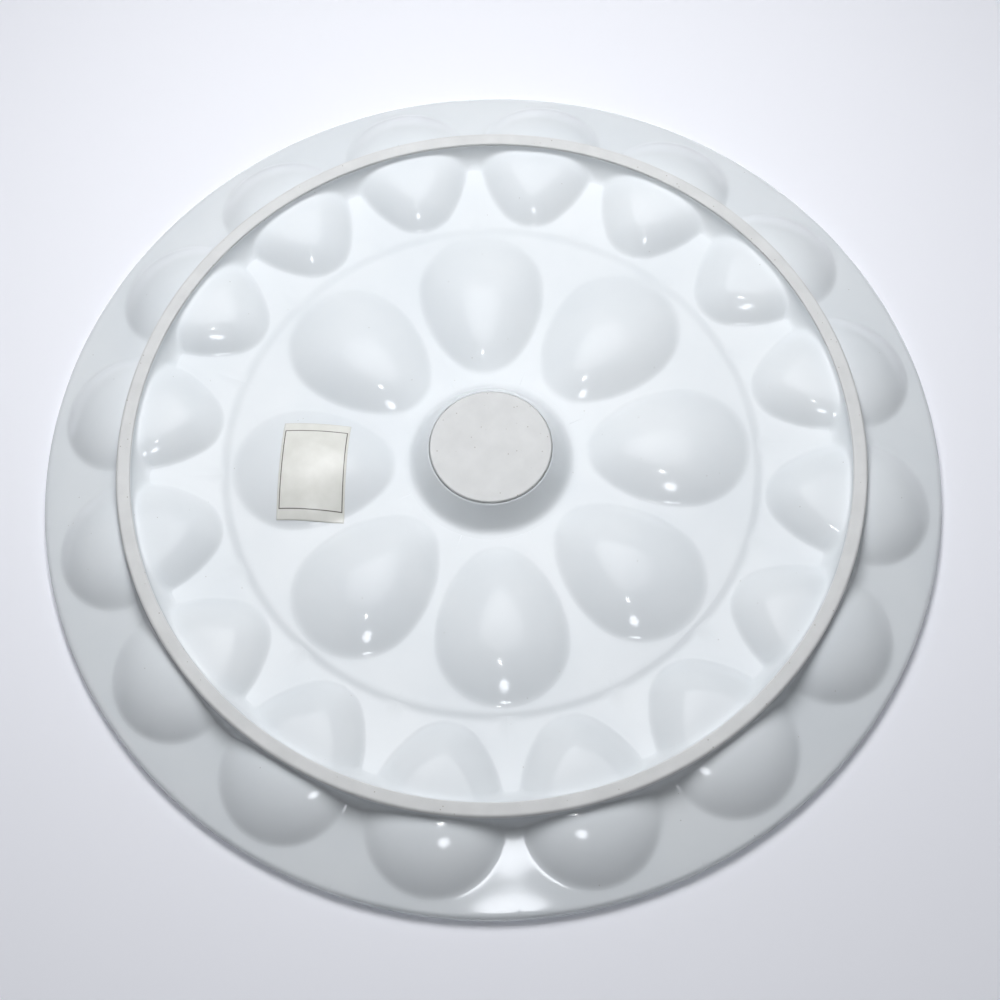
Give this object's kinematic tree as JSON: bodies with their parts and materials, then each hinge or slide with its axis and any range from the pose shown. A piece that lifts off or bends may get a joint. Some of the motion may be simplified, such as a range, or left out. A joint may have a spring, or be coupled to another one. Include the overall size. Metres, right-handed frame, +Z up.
{
  "type": "deviled egg platter",
  "caption": "Round white glazed porcelain platter with egg-shaped wells round its flange and floor, a tall foot ring and a hollow centre foot.",
  "frame": {"origin": "centre of the bearing plane under the foot ring", "axes": "+Z up, the way the wells open; +X through the middle of one floor well"},
  "size_m": [0.33, 0.33, 0.0225],
  "materials": {
    "glaze": "glossy, cool white",
    "biscuit": "matte, unglazed",
    "film": "thin satin film"
  },
  "bodies": {
    "root": {"platter_body": "glaze", "foot_ring": "glaze", "foot_ring_face": "biscuit", "centre_foot": "glaze", "centre_foot_face": "biscuit", "stock_label": "film"}
  },
  "joints": []
}
